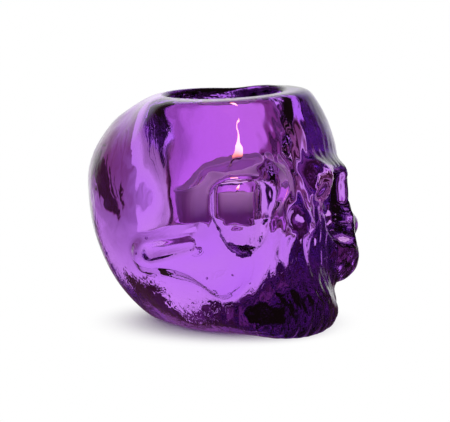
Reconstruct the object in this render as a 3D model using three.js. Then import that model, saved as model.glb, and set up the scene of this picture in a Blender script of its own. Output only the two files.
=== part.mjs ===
// Skull tealight holder: one thick piece of tinted glass in the shape of a skull, with a round well
// sunk into the crown. A tealight stands on the floor of the well: an aluminium cup that holds a
// wax pellet, and a wick crimped into a small metal sustainer.
// Millimetres, +Z up. The origin is where the well's axis meets the surface the skull stands on.
// The face looks along -Y.

import * as THREE from 'three';

// Skull
const skullWidth = 84;
const skullLength = 100;
const skullHeight = 84;
const skullSetback = 3;      // the skull's own middle lies this far behind the well's axis
const rimTilt = 0.045;       // the crown of this hand-made piece climbs this much per unit to the right

// Well in the crown, as wide as the cup and the room round it
const cupClearance = 2;
const wellFlare = 0.5;       // how much wider in radius the well is at its mouth
const wellFloorHeight = 35;
const wellCornerRadius = 1.5;
const rimRound = 1.6;        // rounding of the fire-polished edge between crown and well

// Teeth, pressed faintly into the front of the upper jaw
const toothAngle = 12;       // degrees round the jaw
const toothDepth = 0.5;

// Tealight cup
const cupDiameter = 38;
const cupHeight = 16;
const cupWall = 0.4;
const cupTaper = 0.5;        // how much smaller in radius the cup is at its foot
const cupBead = 0.5;         // how far the rolled rim stands out from the wall
const cupFootWidth = 5;      // flat ring that the cup stands on
const cupDish = 0.6;         // height of the dished middle of the cup's floor

// Wax pellet, wick and sustainer
const waxClearance = 0.3;    // between the pellet and the cup
const waxHeight = 10.5;
const waxHollow = 0.7;       // depth of the melted hollow round the wick
const sustainerDiameter = 12;
const sustainerThickness = 0.4;
const sustainerNeckHeight = 4;
const sustainerNeckWall = 0.4;
const sustainerClearance = 0.3;
const wickDiameter = 1.7;
const wickClearance = 0.25;
const wickHeight = 7;        // how far the wick stands above the wax
const wickLean = 3.5;        // how far its tip has curled over
const wickTipRound = 0.5;

// How finely the surfaces are cut up
const skullSteps = 100;
const skullRings = 41;
const rimRings = 3;
const cupSteps = 40;
const waxSteps = 40;
const wickSteps = 10;
const relaxRounds = 12;      // rounds of evening out the skull's points
const surfaceTolerance = 0.02;
const probe = 0.05;          // reach of the test points that find which way the surface faces

// The skull's surface is a field: below nought inside the glass, above nought outside it. It is made
// of balls and bars that swell it, and of cuts and slots that hollow it, the same on both sides.
// Places and radii are shares of the skull's width, length and height. The radii of a bar or slot and
// all blends are shares of the width.
const boneShares = [
  // Brain case, deeper below its widest line than above it
  { form: 'ball', centre: [0, 0.07, 0.583], radii: [0.5, 0.46, 0.429], low: 0.655 },
  // Forehead
  {
    form: 'ball',
    centre: [0, -0.097, 0.626],
    radii: [0.485, 0.289, 0.521],
    low: 0.685,
    power: 2.08,
    blend: 0.125,
  },
  // Middle of the face
  { form: 'ball', centre: [0, -0.22, 0.357], radii: [0.339, 0.23, 0.357], power: 2.2, blend: 0.095 },
  // Brow
  {
    form: 'bar',
    from: [0.129, -0.408, 0.65],
    to: [0.346, -0.321, 0.656],
    radii: [0.075, 0.02],
    blend: 0.08,
  },
  // Outer rim of the eye socket, down to the cheek bone
  {
    form: 'bar',
    from: [0.338, -0.304, 0.566],
    to: [0.303, -0.38, 0.335],
    radii: [0.058, 0.064],
    blend: 0.109,
  },
  // Cheek bone
  {
    form: 'bar',
    from: [0.327, -0.34, 0.274],
    to: [0.286, -0.33, 0.286],
    radii: [0.083, 0.083],
    blend: 0.071,
  },
  // Arch that runs back from the cheek bone
  {
    form: 'bar',
    from: [0.369, -0.3, 0.304],
    to: [0.452, -0.06, 0.333],
    radii: [0.063, 0.048],
    blend: 0.06,
  },
  // Upper jaw, its underside rising to the sides, with the teeth
  {
    form: 'jaw',
    centre: [0, -0.245, 0.107],
    radii: [0.292, 0.275, 0.179],
    low: 0.173,
    power: 2.3,
    blend: 0.071,
  },
  // Nose bone
  { form: 'bar', from: [0, -0.38, 0.619], to: [0, -0.46, 0.476], radii: [0.054, 0.048], blend: 0.048 },
  // Bone between the nose and the teeth
  { form: 'bar', from: [0, -0.38, 0.31], to: [0, -0.38, 0.143], radii: [0.107, 0.131], blend: 0.06 },
  // Eye socket, turned outward, and its deeper, squarer floor
  {
    form: 'cut',
    centre: [0.279, -0.43, 0.515],
    radii: [0.12, 0.108, 0.14],
    power: 2.03,
    turn: 22,
    blend: 0.011,
  },
  {
    form: 'cut',
    centre: [0.284, -0.43, 0.572],
    radii: [0.122, 0.122, 0.098],
    power: 3.6,
    turn: 22,
    blend: 0.02,
  },
  // Nose hollow, in two halves
  { form: 'cut', centre: [0.055, -0.51, 0.369], radii: [0.054, 0.07, 0.101], blend: 0.036 },
  // Temple
  { form: 'cut', centre: [0.62, -0.26, 0.58], radii: [0.17, 0.11, 0.17], blend: 0.12 },
  // Hollow between the cheek bone and the teeth
  { form: 'cut', centre: [0.262, -0.53, 0.179], radii: [0.107, 0.11, 0.083], blend: 0.06 },
  // Hollow below the arch
  { form: 'cut', centre: [0.524, -0.22, 0.119], radii: [0.167, 0.22, 0.143], blend: 0.071 },
  // Raised lip above the arch, and the slot pressed into it
  {
    form: 'bar',
    from: [0.434, -0.09, 0.362],
    to: [0.41, -0.31, 0.422],
    radii: [0.057, 0.052],
    blend: 0.055,
  },
  {
    form: 'slot',
    from: [0.504, -0.115, 0.357],
    to: [0.462, -0.295, 0.414],
    radii: [0.031, 0.028],
    blend: 0.014,
  },
];
const jawKeelShare = 0.143;      // half width of the flat under the jaw, as a share of the width
const jawKeelRise = 0.35;        // how steeply the jaw's underside rises beside it
const jawKeelBlendShare = 0.048;
const toothTopShare = 0.19;      // height where the teeth end, as a share of the height
const baseBlendShare = 0.018;    // rounding where the sides meet the flat base
const crownShare = 0.993;        // height of the crown at the middle, as a share of the height
const crownBlendShare = 0.03;
const coreHeightShare = 0.56;    // height of the point that every ray to the surface starts from
const coreSetbackShare = 0.17;   // how far the level rays start behind the well's axis, of the length
const firstRingShare = 0.75;     // radius of the innermost ring of points under the base, of the well's
const crowdingShare = 0.45;      // how strongly the points crowd toward the face
const walkShare = 0.7;           // how much of the gap to the surface one step of a walk covers
const hollowShare = 0.8;         // radius of the melted hollow in the wax, of the pellet's

const cupRadius = cupDiameter / 2;
const wellRadius = cupRadius + cupClearance;
const wellMouthRadius = wellRadius + wellFlare;
const rimRadius = wellMouthRadius + rimRound;
const coreHeight = coreHeightShare * skullHeight;
const coreSetback = coreSetbackShare * skullLength;
const rayLength = skullWidth + skullLength;

function blendedMin(a, b, blend) {
  const mix = THREE.MathUtils.clamp(0.5 + (b - a) / (2 * blend), 0, 1);
  return b * (1 - mix) + a * mix - blend * mix * (1 - mix);
}

function blendedMax(a, b, blend) {
  return -blendedMin(-a, -b, blend);
}

function place([x, y, z]) {
  return new THREE.Vector3(x * skullWidth, y * skullLength, z * skullHeight);
}

// The bones with their places and radii as real sizes
const bones = boneShares.map((bone) => ({
  ...bone,
  centre: bone.centre && place(bone.centre),
  size: bone.centre && place(bone.radii),
  line: bone.from && new THREE.Line3(place(bone.from), place(bone.to)),
  ends: bone.radii.map((radius) => radius * skullWidth),
  low: bone.low && bone.low * skullHeight,
  power: bone.power ?? 2,
  turn: THREE.MathUtils.degToRad(bone.turn ?? 0),
  blend: (bone.blend ?? 0) * skullWidth,
}));

function ballField(point, { centre, size, low, power, turn }) {
  const [x, y] = [point.x - centre.x, point.y - centre.y];
  const [cos, sin] = [Math.cos(turn), Math.sin(turn)];
  const z = point.z - centre.z;
  const height = low && z < 0 ? low : size.z;
  const across = Math.abs(x * cos + y * sin) / size.x;
  const along = Math.abs(y * cos - x * sin) / size.y;
  const up = Math.abs(z) / height;
  const total = across ** power + along ** power + up ** power;
  if (total === 0) return -Math.min(size.x, size.y, height);
  const slope = Math.hypot(
    across ** (power - 1) / size.x,
    along ** (power - 1) / size.y,
    up ** (power - 1) / height,
  );
  return (total ** (1 / power) - 1) / (slope * total ** (1 / power - 1));
}

const nearestOnBar = new THREE.Vector3();

function barField(point, { line, ends }) {
  const along = line.closestPointToPointParameter(point, true);
  line.at(along, nearestOnBar);
  return point.distanceTo(nearestOnBar) - THREE.MathUtils.lerp(ends[0], ends[1], along);
}

function toothGroove(point, centre) {
  const round = Math.atan2(point.x, centre.y - point.y);
  const wave = Math.abs(Math.cos((Math.PI * THREE.MathUtils.radToDeg(round)) / toothAngle));
  const top = toothTopShare * skullHeight;
  const band = THREE.MathUtils.smoothstep(top - point.z, 0, top / 2);
  return toothDepth * wave ** 6 * band;
}

function jawField(point, bone) {
  const ball = ballField(point, bone) + toothGroove(point, bone.centre);
  const keel = (point.x - jawKeelShare * skullWidth) * jawKeelRise - point.z;
  return blendedMax(ball, keel, jawKeelBlendShare * skullWidth);
}

const swelling = { ball: ballField, bar: barField, jaw: jawField };
const hollowing = { cut: ballField, slot: barField };

// How far a point lies outside the skull's outer surface, or inside it when below nought
function skullField({ x, y, z }) {
  const point = new THREE.Vector3(Math.abs(x), y - skullSetback, z);
  let field = ballField(point, bones[0]);
  for (const bone of bones.slice(1)) {
    const { form, blend } = bone;
    field = form in hollowing
      ? blendedMax(field, -hollowing[form](point, bone), blend)
      : blendedMin(field, swelling[form](point, bone), blend);
  }
  field = blendedMax(field, -z, baseBlendShare * skullWidth);
  return blendedMax(field, z - crownShare * skullHeight - rimTilt * x, crownBlendShare * skullWidth);
}

// Walks from outside toward a start point until it meets the surface
function surfacePoint(start, direction) {
  let reach = rayLength;
  const point = start.clone().addScaledVector(direction, reach);
  let gap = skullField(point);
  while (gap > surfaceTolerance && reach > 0) {
    reach -= gap * walkShare;
    point.copy(start).addScaledVector(direction, reach);
    gap = skullField(point);
  }
  return point;
}

// Which way the field climbs at a point, and how fast
function fieldSlope(point) {
  const slope = new THREE.Vector3();
  for (const axis of ['x', 'y', 'z']) {
    const [ahead, behind] = [point.clone(), point.clone()];
    ahead[axis] += probe;
    behind[axis] -= probe;
    slope[axis] = (skullField(ahead) - skullField(behind)) / (2 * probe);
  }
  return slope;
}

// Moves a point onto the surface the shortest way
function settle(point) {
  for (let round = 0; round < 3; round += 1) {
    const slope = fieldSlope(point);
    point.addScaledVector(slope, -skullField(point) / slope.lengthSq());
  }
  if (point.z < surfaceTolerance) point.z = 0;
  return point;
}

// A steady turn crowded toward the face, which needs the finest steps
function faceTurn(share) {
  const turn = 2 * Math.PI * share;
  return turn - crowdingShare * Math.sin(turn);
}

// Unit vector at a turn round the axis, where nought is the middle of the face
function outward(turn) {
  return new THREE.Vector3(Math.sin(turn), -Math.cos(turn), 0);
}

function rimPoint(turn) {
  return surfacePoint(outward(turn).multiplyScalar(rimRadius), new THREE.Vector3(0, 0, 1));
}

// One line of points from the middle of the base, up the outside, over the rim and down the well
function skullLine(turn) {
  const rim = rimPoint(turn);
  const lowest = -Math.atan2(coreHeight, wellRadius * firstRingShare);
  const highest = Math.atan2(rim.z - coreHeight, rimRadius);
  const points = [new THREE.Vector3()];
  for (let ring = 0; ring < skullRings; ring += 1) {
    const climb = THREE.MathUtils.lerp(lowest, highest, ring / skullRings);
    const direction = outward(turn).multiplyScalar(Math.cos(climb)).setZ(Math.sin(climb));
    const core = new THREE.Vector3(0, coreSetback * Math.cos(climb) ** 2, coreHeight);
    points.push(surfacePoint(core, direction));
  }
  for (let ring = 0; ring <= rimRings; ring += 1) {
    const bend = (Math.PI / 2) * (ring / rimRings);
    const radius = rimRadius - rimRound * Math.sin(bend);
    points.push(outward(turn).multiplyScalar(radius).setZ(rim.z - rimRound * (1 - Math.cos(bend))));
  }
  const cornerHeight = wellFloorHeight + wellCornerRadius;
  for (const share of [2 / 3, 1 / 3, 0]) {
    const radius = wellRadius + wellFlare * share;
    const height = THREE.MathUtils.lerp(cornerHeight, rim.z - rimRound, share);
    points.push(outward(turn).multiplyScalar(radius).setZ(height));
  }
  for (const bend of [Math.PI / 4, Math.PI / 2]) {
    const radius = wellRadius - wellCornerRadius * (1 - Math.cos(bend));
    const height = cornerHeight - wellCornerRadius * Math.sin(bend);
    points.push(outward(turn).multiplyScalar(radius).setZ(height));
  }
  points.push(new THREE.Vector3(0, 0, wellFloorHeight));
  return points;
}

// Evens out the points between the base and the rim, and keeps them on the surface
function relax(lines) {
  for (let round = 0; round < relaxRounds; round += 1) {
    const before = lines.map((line) => line.map((point) => point.clone()));
    lines.forEach((line, step) => {
      const left = before[(step + skullSteps - 1) % skullSteps];
      const right = before[(step + 1) % skullSteps];
      for (let i = 2; i <= skullRings; i += 1) {
        const sum = left[i].clone().add(right[i]).add(before[step][i - 1]).add(before[step][i + 1]);
        line[i].copy(settle(sum.divideScalar(4)));
      }
    });
  }
}

// A lathe gives the closed skin, and each of its points is then moved to the skull's surface
function skullGeometry() {
  const turns = Array.from({ length: skullSteps }, (_, step) => faceTurn(step / skullSteps));
  const lines = turns.map(skullLine);
  relax(lines);
  const count = lines[0].length;
  const profile = [];
  for (let i = 0; i < count; i += 1) {
    const half = (Math.PI * i) / (count - 1);
    profile.push(new THREE.Vector2(wellRadius * Math.sin(half), -wellRadius * Math.cos(half)));
  }
  const geometry = new THREE.LatheGeometry(profile, skullSteps);
  const position = geometry.getAttribute('position');
  for (let step = 0; step <= skullSteps; step += 1) {
    lines[step % skullSteps].forEach(({ x, y, z }, i) => position.setXYZ(step * count + i, x, y, z));
  }
  geometry.computeVertexNormals();
  return geometry;
}

// Turns an outline of [radius, height] pairs round the upright axis
function turned(outline, steps) {
  const points = outline.map(([radius, height]) => new THREE.Vector2(radius, height));
  return new THREE.LatheGeometry(points, steps).rotateX(Math.PI / 2);
}

// Points of an arc in an outline, from one angle to another in degrees
function arc(radius, height, size, fromAngle, toAngle, steps) {
  const points = [];
  for (let i = 0; i <= steps; i += 1) {
    const angle = THREE.MathUtils.degToRad(THREE.MathUtils.lerp(fromAngle, toAngle, i / steps));
    points.push([radius + size * Math.cos(angle), height + size * Math.sin(angle)]);
  }
  return points;
}

const cupBodyRadius = cupRadius - cupBead;
const cupFootRadius = cupBodyRadius - cupTaper;
const cupFloorThickness = cupWall;
const cupFootInner = cupFootRadius - cupWall - cupFootWidth;

function cupGeometry() {
  const beadHeight = cupHeight - cupBead;
  const floorTop = cupDish + cupFloorThickness;
  return turned([
    [0, cupDish],
    [cupFootInner - cupDish, cupDish],
    [cupFootInner, 0],
    [cupFootRadius - cupWall, 0],
    [cupFootRadius, cupWall],
    [cupBodyRadius, beadHeight - cupBead],
    ...arc(cupBodyRadius, beadHeight, cupBead, -60, 90, 5),
    [cupBodyRadius - cupWall, cupHeight],
    [cupBodyRadius - cupWall, beadHeight - cupBead],
    [cupFootRadius - cupWall, floorTop],
    [0, floorTop],
  ], cupSteps);
}

const wickRadius = wickDiameter / 2;
const neckBore = wickRadius + wickClearance;
const neckRadius = neckBore + sustainerNeckWall;
const sustainerRadius = sustainerDiameter / 2;

function sustainerGeometry() {
  const shoulder = sustainerThickness + sustainerNeckWall;
  const outline = [
    [neckBore, 0],
    [sustainerRadius, 0],
    [sustainerRadius, sustainerThickness],
    [neckRadius + sustainerNeckWall, sustainerThickness],
    [neckRadius, shoulder],
    [neckRadius, sustainerNeckHeight],
    [neckBore, sustainerNeckHeight],
    [neckBore, 0],
  ];
  return turned(outline, wickSteps * 2);
}

// The pellet has a pocket for the sustainer below and a melted hollow round the wick above
function waxGeometry() {
  const bottomRadius = cupFootRadius - cupWall - waxClearance;
  const topRadius = bottomRadius + (cupTaper * waxHeight) / cupHeight;
  const pocketRadius = sustainerRadius + sustainerClearance;
  const pocketHeight = sustainerThickness + sustainerNeckWall + sustainerClearance;
  const channel = neckRadius + sustainerClearance;
  const channelTop = sustainerNeckHeight + sustainerClearance;
  const hole = wickRadius + wickClearance;
  const hollowRadius = bottomRadius * hollowShare;
  return turned([
    [pocketRadius, 0],
    [bottomRadius, 0],
    [topRadius, waxHeight - waxClearance],
    [topRadius - waxClearance, waxHeight],
    [hollowRadius, waxHeight - waxHollow / 3],
    [hollowRadius / 2, waxHeight - waxHollow],
    [hole, waxHeight - waxHollow],
    [hole, channelTop],
    [channel, channelTop - sustainerClearance / 2],
    [channel, pocketHeight],
    [pocketRadius, pocketHeight],
    [pocketRadius, 0],
  ], waxSteps);
}

// The wick stands in the sustainer's neck and curls over at its tip
function wickGeometry() {
  const length = waxHeight - waxHollow + wickHeight;
  const straight = waxHeight;
  const outline = [[0, 0], [wickRadius, 0]];
  const bends = 6;
  for (let i = 0; i <= bends; i += 1) {
    outline.push([wickRadius, THREE.MathUtils.lerp(straight, length - wickTipRound, i / bends)]);
  }
  outline.push([wickRadius - wickTipRound, length], [0, length]);
  const geometry = turned(outline, wickSteps);
  const position = geometry.getAttribute('position');
  for (let i = 0; i < position.count; i += 1) {
    const curl = Math.max(0, (position.getZ(i) - straight) / (length - straight));
    position.setX(i, position.getX(i) + wickLean * curl * curl);
  }
  return geometry;
}

function piece(name, geometry, colour, roughness, metalness, height) {
  const material = new THREE.MeshStandardMaterial({ color: colour, roughness, metalness });
  const mesh = new THREE.Mesh(geometry, material);
  mesh.name = name;
  mesh.position.z = height;
  return mesh;
}

const cupFloorTop = wellFloorHeight + cupDish + cupFloorThickness;

const holder = new THREE.Group();
holder.name = 'skull_tealight_holder';
holder.add(
  piece('glass_skull', skullGeometry(), 0x7a35b8, 0.04, 0, 0),
  piece('tealight_cup', cupGeometry(), 0xb9b4bc, 0.35, 0.9, wellFloorHeight),
  piece('wick_sustainer', sustainerGeometry(), 0xa8a8ad, 0.4, 0.9, cupFloorTop),
  piece('wax', waxGeometry(), 0xcdb6d6, 0.55, 0, cupFloorTop),
  piece('wick', wickGeometry(), 0xd8cdbb, 0.9, 0, cupFloorTop),
);

export default holder;
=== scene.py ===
"""Looks of a lit tealight holder: a skull of thick violet glass with a tealight in its crown.

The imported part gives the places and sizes. This script models the glass, the tealight and its
flame in fine detail, dresses them and sets up a plain studio.
"""

import logging
import math
from dataclasses import dataclass
from enum import Enum

import bmesh
import bpy
import numpy as np
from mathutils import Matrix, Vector


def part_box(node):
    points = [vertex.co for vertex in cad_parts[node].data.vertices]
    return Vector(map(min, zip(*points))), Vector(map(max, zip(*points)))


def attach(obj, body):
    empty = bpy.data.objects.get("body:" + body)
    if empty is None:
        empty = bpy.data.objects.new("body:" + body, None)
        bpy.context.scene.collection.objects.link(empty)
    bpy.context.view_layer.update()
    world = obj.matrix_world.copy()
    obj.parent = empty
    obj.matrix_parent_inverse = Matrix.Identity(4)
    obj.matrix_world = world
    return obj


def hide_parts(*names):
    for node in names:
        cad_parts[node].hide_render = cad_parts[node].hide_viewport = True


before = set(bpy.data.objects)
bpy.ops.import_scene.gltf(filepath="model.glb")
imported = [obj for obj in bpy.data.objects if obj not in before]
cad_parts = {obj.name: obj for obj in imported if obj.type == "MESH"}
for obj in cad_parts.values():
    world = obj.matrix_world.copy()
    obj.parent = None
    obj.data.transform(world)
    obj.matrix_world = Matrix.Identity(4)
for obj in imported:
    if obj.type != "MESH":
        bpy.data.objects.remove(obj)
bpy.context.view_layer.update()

logging.basicConfig(level=logging.INFO, format="%(name)s: %(message)s")
log = logging.getLogger("skull_tealight_holder")

MM = 0.001
FULL_TURN = 2 * math.pi
Triple = tuple[float, float, float]


class Body(Enum):
    """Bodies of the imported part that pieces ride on."""

    HOLDER = "holder"
    CUP = "cup"
    CANDLE = "candle"


class Ends(Enum):
    """How a turned outline closes."""

    ON_AXIS = "on_axis"
    RING = "ring"


def blended_min(a: np.ndarray, b: np.ndarray, blend: float) -> np.ndarray:
    """Joins two fields with a rounded seam.

    Args:
        a: Field of the first form at each point.
        b: Field of the second form at each point.
        blend: Width of the rounded seam, in the points' unit.

    Returns:
        The joined field.
    """
    mix = np.clip(0.5 + (b - a) / (2 * blend), 0, 1)
    return b * (1 - mix) + a * mix - blend * mix * (1 - mix)


def blended_max(a: np.ndarray, b: np.ndarray, blend: float) -> np.ndarray:
    """Keeps what two fields share, with a rounded seam.

    Args:
        a: Field of the first form at each point.
        b: Field of the second form at each point.
        blend: Width of the rounded seam, in the points' unit.

    Returns:
        The shared field.
    """
    return -blended_min(-a, -b, blend)


def unevenness(points: np.ndarray) -> np.ndarray:
    """Gives a smooth, irregular pattern between about -1 and 1, like hand-pressed glass.

    Args:
        points: Points in millimetres, one a row.

    Returns:
        The pattern's value at each point.
    """
    x, y, z = points.T
    broad = np.sin(0.21 * x + 0.13 * z + 0.6 * np.sin(0.17 * y)) * np.sin(0.24 * y - 0.11 * z + 1)
    middle = np.sin(0.41 * z + 0.31 * x + 1.3 * np.sin(0.23 * y + 0.4)) * 0.25
    fine = np.sin(0.95 * y + 0.8 * np.sin(0.7 * z)) * np.sin(0.88 * x - 0.62 * z) * 0.12
    return (broad + middle + fine) / 1.3


def step_between(values: np.ndarray, start: float, end: float) -> np.ndarray:
    """Climbs smoothly from nought at the start to one at the end.

    Args:
        values: The values that the step reads.
        start: Where the step begins, which may lie above the end.
        end: Where it ends.

    Returns:
        The step at each value.
    """
    share = np.clip((values - start) / (end - start), 0, 1)
    return share * share * (3 - 2 * share)


def soft_patch(
    points: np.ndarray, centre: tuple[float, float], reach: tuple[float, float]
) -> np.ndarray:
    """Gives a soft round patch on each side of the face, one at its middle.

    Args:
        points: Points in millimetres, one a row.
        centre: Distance from the middle of the face, and height, of the patch's middle.
        reach: How far the patch spreads sideways and up.

    Returns:
        The patch's strength at each point.
    """
    x, _, z = points.T
    return np.exp(-(((np.abs(x) - centre[0]) / reach[0]) ** 2) - ((z - centre[1]) / reach[1]) ** 2)


def chill_streaks(points: np.ndarray) -> np.ndarray:
    """Gives the short broken streaks of glass that cooled against the mould, from -1 to 1.

    Args:
        points: Points in millimetres, one a row.

    Returns:
        The streaks' value at each point.
    """
    x, y, z = points.T
    streaks = np.sin(1.45 * x + 0.9 * np.sin(0.42 * z + 0.7) + 0.5 * y)
    breaks = np.sin(0.8 * z + 1.3 * np.sin(0.5 * x))
    return streaks * (0.55 + 0.45 * breaks)


@dataclass(frozen=True)
class SkullSize:
    """Overall sizes of the skull in millimetres."""

    width: float = 84
    length: float = 100
    height: float = 84
    setback: float = 3
    rim_tilt: float = 0.045

    def place(self, share: Triple) -> np.ndarray:
        """Turns shares of the width, length and height into millimetres."""
        return np.array(share) * (self.width, self.length, self.height)


@dataclass(frozen=True)
class Ball:
    """A rounded form, with its place and radii as shares of the skull's size."""

    centre: Triple
    radii: Triple
    low: float = 0
    power: float = 2
    turn: float = 0
    blend: float = 0
    cut: bool = False

    def field(self, points: np.ndarray, size: SkullSize) -> np.ndarray:
        """Measures how far points lie outside the form.

        Args:
            points: Points in millimetres, one a row.
            size: Overall sizes of the skull.

        Returns:
            The distance of each point, below nought inside.
        """
        x, y, z = (points - size.place(self.centre)).T
        across, along, up = size.place(self.radii)
        height = np.where(z < 0, self.low * size.height, up) if self.low else up
        turn = math.radians(self.turn)
        terms = (
            np.abs(x * math.cos(turn) + y * math.sin(turn)) / across,
            np.abs(y * math.cos(turn) - x * math.sin(turn)) / along,
            np.abs(z) / height,
        )
        total = sum(term**self.power for term in terms) + 1e-12
        radii = (across, along, height)
        steep = sum((term ** (self.power - 1) / radius) ** 2 for term, radius in zip(terms, radii))
        slope = np.sqrt(steep) * total ** (1 / self.power - 1) + 1e-12
        return (total ** (1 / self.power) - 1) / slope


@dataclass(frozen=True)
class Bar:
    """A round bar between two places, with its ends' radii as shares of the width."""

    start: Triple
    end: Triple
    radii: tuple[float, float]
    blend: float
    cut: bool = False

    def field(self, points: np.ndarray, size: SkullSize) -> np.ndarray:
        """Measures how far points lie outside the bar.

        Args:
            points: Points in millimetres, one a row.
            size: Overall sizes of the skull.

        Returns:
            The distance of each point, below nought inside.
        """
        start, end = size.place(self.start), size.place(self.end)
        run = end - start
        along = np.clip((points - start) @ run / (run @ run), 0, 1)
        away = points - start - along[:, None] * run
        radius = self.radii[0] + (self.radii[1] - self.radii[0]) * along
        return np.sqrt((away * away).sum(axis=1)) - radius * size.width


@dataclass(frozen=True)
class Jaw(Ball):
    """The upper jaw, with teeth pressed into it and an underside that rises to the sides."""

    keel: float = 0.143
    keel_rise: float = 0.35
    keel_blend: float = 0.048
    tooth_top: float = 0.19
    tooth_angle: float = 12
    tooth_depth: float = 0.5

    def field(self, points: np.ndarray, size: SkullSize) -> np.ndarray:
        """Measures how far points lie outside the jaw.

        Args:
            points: Points in millimetres, one a row.
            size: Overall sizes of the skull.

        Returns:
            The distance of each point, below nought inside.
        """
        x, y, z = points.T
        turn = np.degrees(np.arctan2(x, size.place(self.centre)[1] - y))
        wave = np.abs(np.cos(math.pi * turn / self.tooth_angle))
        top = self.tooth_top * size.height
        rise = np.clip((top - z) / (top / 2), 0, 1)
        groove = self.tooth_depth * wave**6 * rise * rise * (3 - 2 * rise)
        underside = (x - self.keel * size.width) * self.keel_rise - z
        ball = super().field(points, size) + groove
        return blended_max(ball, underside, self.keel_blend * size.width)


BONES = (
    # Brain case, deeper below its widest line than above it
    Ball((0, 0.07, 0.583), (0.5, 0.46, 0.429), low=0.655),
    # Forehead
    Ball((0, -0.097, 0.626), (0.485, 0.289, 0.521), low=0.685, power=2.08, blend=0.125),
    # Middle of the face
    Ball((0, -0.22, 0.357), (0.339, 0.23, 0.357), power=2.2, blend=0.095),
    # Brow
    Bar((0.129, -0.408, 0.65), (0.346, -0.321, 0.656), (0.075, 0.02), 0.08),
    # Outer rim of the eye socket, down to the cheek bone
    Bar((0.338, -0.304, 0.566), (0.303, -0.38, 0.335), (0.058, 0.064), 0.109),
    # Cheek bone
    Bar((0.327, -0.34, 0.274), (0.286, -0.33, 0.286), (0.083, 0.083), 0.071),
    # Arch that runs back from the cheek bone
    Bar((0.369, -0.3, 0.304), (0.452, -0.06, 0.333), (0.063, 0.048), 0.06),
    # Upper jaw
    Jaw((0, -0.245, 0.107), (0.292, 0.275, 0.179), low=0.173, power=2.3, blend=0.071),
    # Nose bone
    Bar((0, -0.38, 0.619), (0, -0.46, 0.476), (0.054, 0.048), 0.048),
    # Bone between the nose and the teeth
    Bar((0, -0.38, 0.31), (0, -0.38, 0.143), (0.107, 0.131), 0.06),
    # Eye socket, turned outward, and its flatter, squarer floor
    Ball((0.279, -0.43, 0.515), (0.12, 0.108, 0.14), power=2.03, turn=22, blend=0.011, cut=True),
    Ball((0.284, -0.43, 0.572), (0.122, 0.122, 0.098), power=3.6, turn=22, blend=0.02, cut=True),
    # Nose hollow, in two halves
    Ball((0.055, -0.51, 0.369), (0.054, 0.07, 0.101), blend=0.036, cut=True),
    # Temple
    Ball((0.62, -0.26, 0.58), (0.17, 0.11, 0.17), blend=0.12, cut=True),
    # Hollow between the cheek bone and the teeth
    Ball((0.262, -0.53, 0.179), (0.107, 0.11, 0.083), blend=0.06, cut=True),
    # Hollow below the arch
    Ball((0.524, -0.22, 0.119), (0.167, 0.22, 0.143), blend=0.071, cut=True),
    # Raised lip above the arch, and the slot pressed into it
    Bar((0.434, -0.09, 0.362), (0.41, -0.31, 0.422), (0.057, 0.052), 0.055),
    Bar((0.504, -0.115, 0.357), (0.462, -0.295, 0.414), (0.035, 0.032), 0.006, cut=True),
)


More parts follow.
